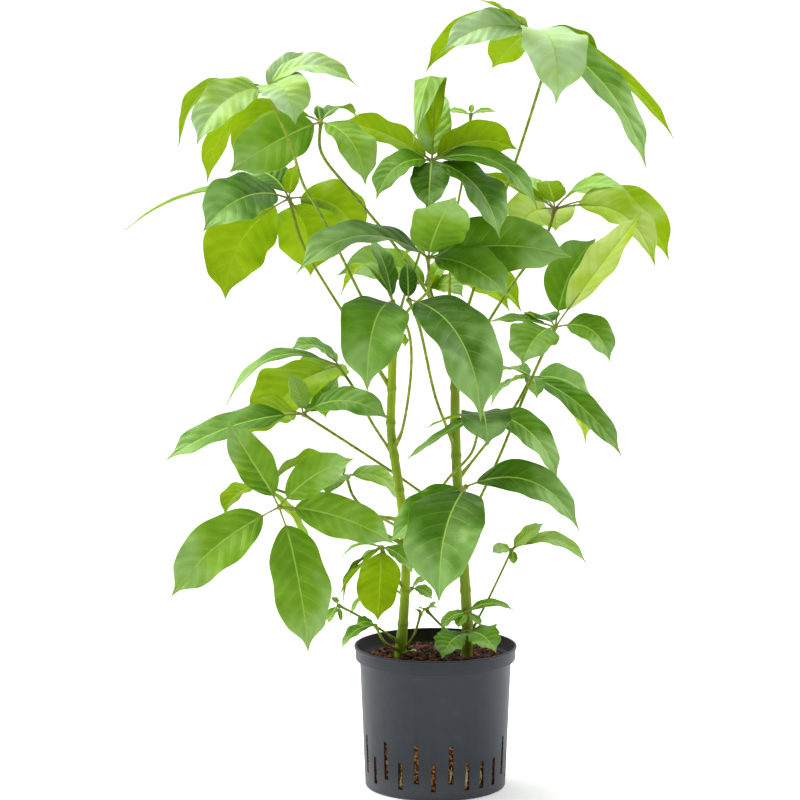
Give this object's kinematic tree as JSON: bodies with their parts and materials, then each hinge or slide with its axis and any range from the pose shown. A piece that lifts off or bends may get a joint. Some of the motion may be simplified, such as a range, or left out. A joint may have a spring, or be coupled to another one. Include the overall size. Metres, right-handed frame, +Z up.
{
  "type": "potted umbrella plant",
  "caption": "Potted umbrella plant: green stems rise from a round slotted plastic pot and carry long stalked leaves of glossy leaflets that spread from one point.",
  "frame": {"origin": "middle of the pot's flat underside, on the surface it stands on", "axes": "+Z up along the pot's axis; -Y is the front, towards the picture's camera; +X is to the right as the picture shows it"},
  "size_m": [0.7414, 0.4306, 1.059],
  "materials": {
    "pot": "matt slate grey moulded plastic",
    "substrate": "rough, coarse, reddish brown granules",
    "stem": "smooth green bark with darker leaf scars",
    "leaf": "glossy waxy green above, paler yellow green below"
  },
  "bodies": {
    "root": {"pot": "pot", "substrate": "substrate", "stem_left": "stem", "stem_right": "stem", "leaf_01": "leaf", "leaf_02": "leaf", "leaf_03": "leaf", "leaf_04": "leaf", "leaf_05": "leaf", "leaf_06": "leaf", "leaf_07": "leaf", "leaf_08": "leaf", "leaf_09": "leaf", "leaf_10": "leaf", "leaf_11": "leaf", "leaf_12": "leaf", "leaf_13": "leaf", "leaf_14": "leaf", "leaf_15": "leaf", "leaf_16": "leaf", "leaf_17": "leaf", "leaf_18": "leaf", "leaf_19": "leaf", "leaf_20": "leaf", "leaf_21": "leaf", "leaf_22": "leaf", "leaf_23": "leaf", "leaf_24": "leaf", "leaf_25": "leaf", "leaf_26": "leaf", "leaf_27": "leaf", "leaf_28": "leaf", "leaf_29": "leaf", "leaf_30": "leaf", "leaf_31": "leaf", "leaf_32": "leaf"}
  },
  "joints": []
}
